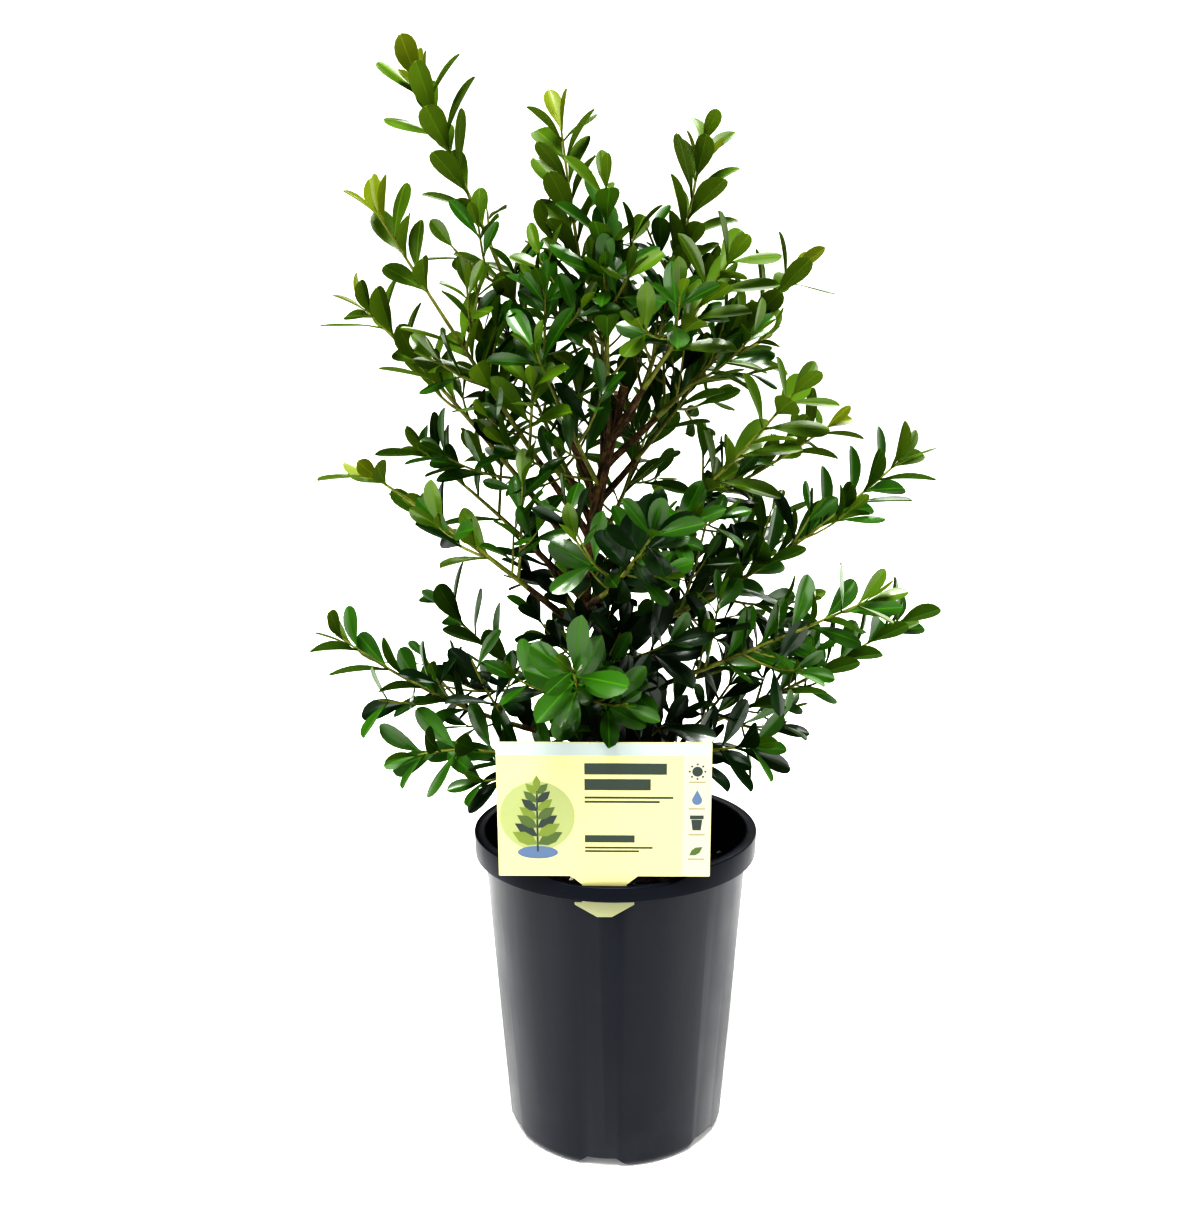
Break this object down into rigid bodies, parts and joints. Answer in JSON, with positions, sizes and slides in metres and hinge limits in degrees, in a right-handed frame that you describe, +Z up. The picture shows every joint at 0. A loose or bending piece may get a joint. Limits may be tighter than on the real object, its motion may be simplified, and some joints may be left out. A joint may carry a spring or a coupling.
{
  "type": "potted boxwood shrub",
  "caption": "Open, upright boxwood shrub with a leaning trunk, rising boughs and small glossy leaves, in a tapered round plastic nursery pot with a plant label without words in its rim.",
  "frame": {"origin": "middle of the pot's flat underside, on the surface that it stands on", "axes": "+Z up along the pot's axis; -Y is the side that the plant label faces; +X is to the right for someone who faces the label"},
  "size_m": [0.3043, 0.2515, 0.5192],
  "materials": {
    "pot_plastic": "moulded black polypropylene, satin",
    "potting_mix": "damp bark and peat mix, matt",
    "label_sheet": "printed plastic sheet, semi-gloss",
    "bark": "thin fissured bark, matt",
    "foliage": "glossy evergreen leaves on green twigs"
  },
  "bodies": {
    "root": {"pot": "pot_plastic", "potting_mix": "potting_mix", "plant_label": "label_sheet", "trunk": "bark", "bough_top_left": "bark", "bough_upper_left": "bark", "bough_left_shoulder": "bark", "bough_leader": "bark", "bough_leader_front": "bark", "bough_top_right": "bark", "bough_upper_right_front": "bark", "bough_upper_right": "bark", "bough_right_front": "bark", "bough_right_back": "bark", "bough_right": "bark", "bough_low_right": "bark", "bough_low_right_front": "bark", "bough_low_left": "bark", "bough_low_left_back": "bark", "bough_left_front": "bark", "bough_left_back": "bark", "bough_front": "bark", "bough_back_high": "bark", "bough_back": "bark", "bough_back_left": "bark", "bough_low_back": "bark", "bough_low_back_right": "bark", "bough_back_right": "bark", "foliage_top_left": "foliage", "foliage_upper_left": "foliage", "foliage_left_shoulder": "foliage", "foliage_leader": "foliage", "foliage_leader_front": "foliage", "foliage_top_right": "foliage", "foliage_upper_right_front": "foliage", "foliage_upper_right": "foliage", "foliage_right_front": "foliage", "foliage_right_back": "foliage", "foliage_right": "foliage", "foliage_low_right": "foliage", "foliage_low_right_front": "foliage", "foliage_bottom_right": "foliage", "foliage_low_left": "foliage", "foliage_low_left_back": "foliage", "foliage_left_front": "foliage", "foliage_left_back": "foliage", "foliage_bottom_left": "foliage", "foliage_front_high": "foliage", "foliage_front": "foliage", "foliage_low_front": "foliage", "foliage_bottom_front": "foliage", "foliage_inner_left": "foliage", "foliage_inner_front": "foliage", "foliage_back_high": "foliage", "foliage_back": "foliage", "foliage_back_left": "foliage", "foliage_low_back": "foliage", "foliage_low_back_right": "foliage", "foliage_back_right": "foliage"}
  },
  "joints": []
}
